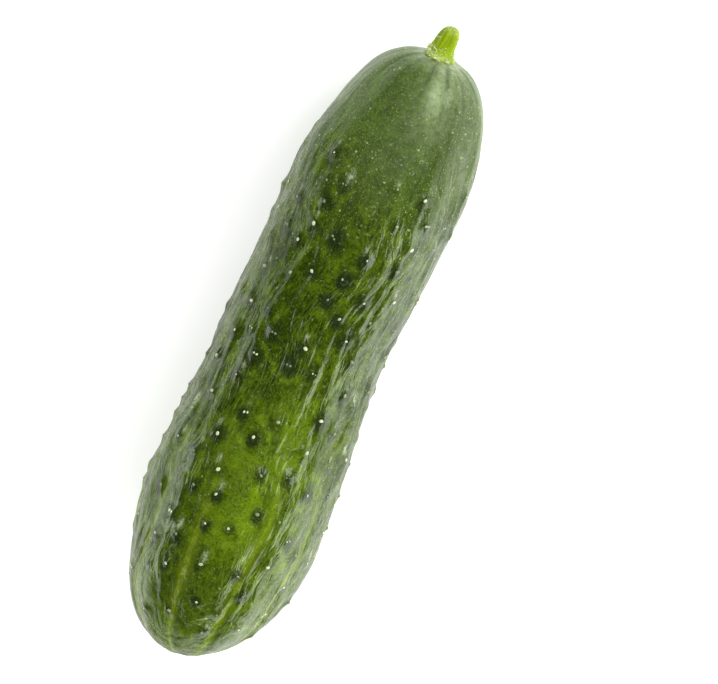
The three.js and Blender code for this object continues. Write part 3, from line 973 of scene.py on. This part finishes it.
low = (share > COLLAR_FROM) & (share < COLLAR_TO) & (row > BARE_FOOT)
lower = np.flatnonzero(low)
upper = np.flatnonzero((share > COLLAR_TO) & (row < 1 - BARE_TIP))
centre_line = STEM_FOOT + np.array([STEM_LENGTH, 0, STEM_LEAN_Z]) / 2
for i in range(HAIR_COUNT + STRAND_COUNT):
    pool = lower if draw() < LOW_HAIRS else upper
    at = stem_points[pool[int(draw() * len(pool))]]
    axis_point = centre_line + (at[0] - centre_line[0]) * np.array([1, 0, HAIR_AXIS_RISE])
    out = Vector(at - axis_point).normalized()
    out += Vector([draw() - middle for middle in RUFFLE_MIDDLE]) * RUFFLE
    length = between(HAIR_LENGTHS, draw() ** 2)
    thickness = between(HAIR_RADII, draw())
    if i >= HAIR_COUNT:
        length = between(STRAND_LENGTHS, draw())
        thickness = STRAND_RADIUS
    add_hair(Vector(at * MM), out.normalized(), length * MM, thickness * MM)
hair_mesh = bpy.data.meshes.new("stem_fibres")
hair_bm.to_mesh(hair_mesh)
hair_bm.free()
hairs = bpy.data.objects.new("stem_fibres", hair_mesh)
bpy.context.collection.objects.link(hairs)
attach(hairs, "root")

# Dry plant fibre: matt and nearly white.
dry_fibre = bpy.data.materials.new("dry_white_fibre")
dry_fibre.use_nodes = True
fibre_shader = dry_fibre.node_tree.nodes["Principled BSDF"]
fibre_shader.inputs["Base Color"].default_value = linear("#dfe4c0")
fibre_shader.inputs["Roughness"].default_value = 0.7
hair_mesh.materials.append(dry_fibre)


# ---- floor, lamps and camera --------------------------------------------
# A pale table top under soft lamps, and a camera that looks down on the fruit.

floor_bm = bmesh.new()
bmesh.ops.create_grid(floor_bm, x_segments=1, y_segments=1, size=3)
floor_mesh = bpy.data.meshes.new("floor")
floor_bm.to_mesh(floor_mesh)
floor_bm.free()
floor = bpy.data.objects.new("floor", floor_mesh)
bpy.context.collection.objects.link(floor)

# Smooth matt board: nearly white, with hardly any shine.
pale_top = bpy.data.materials.new("pale_table_top")
pale_top.use_nodes = True
pale_shader = pale_top.node_tree.nodes["Principled BSDF"]
pale_shader.inputs["Base Color"].default_value = linear("#ececec")
pale_shader.inputs["Roughness"].default_value = 0.9
pale_shader.inputs["Specular IOR Level"].default_value = 0.1
floor_mesh.materials.append(pale_top)

# A low, long lamp on each side of the fruit, whose mirror images are the veil on its flanks, one
# beyond the stem, a weak one beyond the blossom end, one overhead that the wax doesn't mirror, and
# one for the floor alone. In order: place, what it points at, length, height, brightness.
LAMPS = {
    "lamp_right": ((-0.2, -0.80, 0.16), (-0.2, 0, 0.16), 0.8, 0.26, 3.1),
    "lamp_left": ((-0.37, 0.80, 0.12), (-0.37, 0, 0.12), 0.40, 0.20, 3.4),
    "lamp_stem": ((0.60, -0.42, 0.62), (0.05, 0, 0.02), 0.5, 0.5, 6.8),
    "lamp_blossom": ((-0.90, 0.0, 0.12), (0, 0, 0.12), 1.6, 0.24, 1.0),
    "lamp_top": ((0.0, 0.0, 0.80), (0, 0, 0), 0.5, 0.5, 1.5),
    "lamp_floor": ((-0.15, -0.45, 0.35), (-0.15, -0.45, 0), 0.8, 0.4, 4.0),
}
WASH_STRENGTH = 1.9
ROOM_STRENGTH = 0.4
only_floor = bpy.data.collections.new("lit_by_lamp_floor")
only_floor.objects.link(floor)
for name, (place_at, aim, length, height, brightness) in LAMPS.items():
    lamp_data = bpy.data.lights.new(name, "AREA")
    lamp_data.shape = "RECTANGLE"
    lamp_data.size = length
    lamp_data.size_y = height
    lamp_data.energy = math.pi * length * height * brightness
    lamp = bpy.data.objects.new(name, lamp_data)
    bpy.context.collection.objects.link(lamp)
    towards = (Vector(aim) - Vector(place_at)).to_track_quat("-Z", "Y").to_matrix().to_4x4()
    lamp.matrix_world = Matrix.Translation(place_at) @ towards
    lamp.visible_glossy = name != "lamp_top"
    if name == "lamp_floor":
        lamp.light_linking.receiver_collection = only_floor
        lamp.light_linking.blocker_collection = only_floor

# An even wash on the table top alone, so that it stays pale as far as it is seen.
wash_data = bpy.data.lights.new("lamp_wash", "SUN")
wash_data.energy = WASH_STRENGTH
wash = bpy.data.objects.new("lamp_wash", wash_data)
bpy.context.collection.objects.link(wash)
wash.light_linking.receiver_collection = only_floor
wash.light_linking.blocker_collection = only_floor

# The room's own light, which the wax doesn't mirror.
world = bpy.data.worlds.new("room")
bpy.context.scene.world = world
world.use_nodes = True
world.node_tree.nodes["Background"].inputs["Color"].default_value = (1, 1, 1, 1)
world.node_tree.nodes["Background"].inputs["Strength"].default_value = ROOM_STRENGTH
world.cycles_visibility.glossy = False

# The camera looks down on the fruit, leaning a little towards its stem end.
CAMERA_DISTANCE = 0.700
CAMERA_LEAN = math.radians(18)
CAMERA_ROLL = math.radians(64.8)
CAMERA_AIM = Vector((-0.0031, 0.0005, 0.0175))
AIM_RIGHT = 0.01102
AIM_UP = 0.00215
PIXELS_PER_METRE = 5073.6  # at the camera's aim
IMAGE_WIDTH = 718

lean_out = Vector((math.sin(CAMERA_LEAN), 0, math.cos(CAMERA_LEAN)))
lean_along = Vector((math.cos(CAMERA_LEAN), 0, -math.sin(CAMERA_LEAN)))
across_fruit = Vector((0, 1, 0))
image_right = math.cos(CAMERA_ROLL) * lean_along - math.sin(CAMERA_ROLL) * across_fruit
image_up = math.sin(CAMERA_ROLL) * lean_along + math.cos(CAMERA_ROLL) * across_fruit
camera_data = bpy.data.cameras.new("camera")
camera_data.sensor_width = 36
camera_data.lens = PIXELS_PER_METRE * CAMERA_DISTANCE / IMAGE_WIDTH * camera_data.sensor_width
camera = bpy.data.objects.new("camera", camera_data)
bpy.context.collection.objects.link(camera)
stand = CAMERA_AIM + lean_out * CAMERA_DISTANCE + image_right * AIM_RIGHT + image_up * AIM_UP
turn = Matrix((image_right, image_up, lean_out)).transposed().to_4x4()
camera.matrix_world = Matrix.Translation(stand) @ turn
bpy.context.scene.camera = camera
bpy.context.scene.view_settings.view_transform = "Standard"
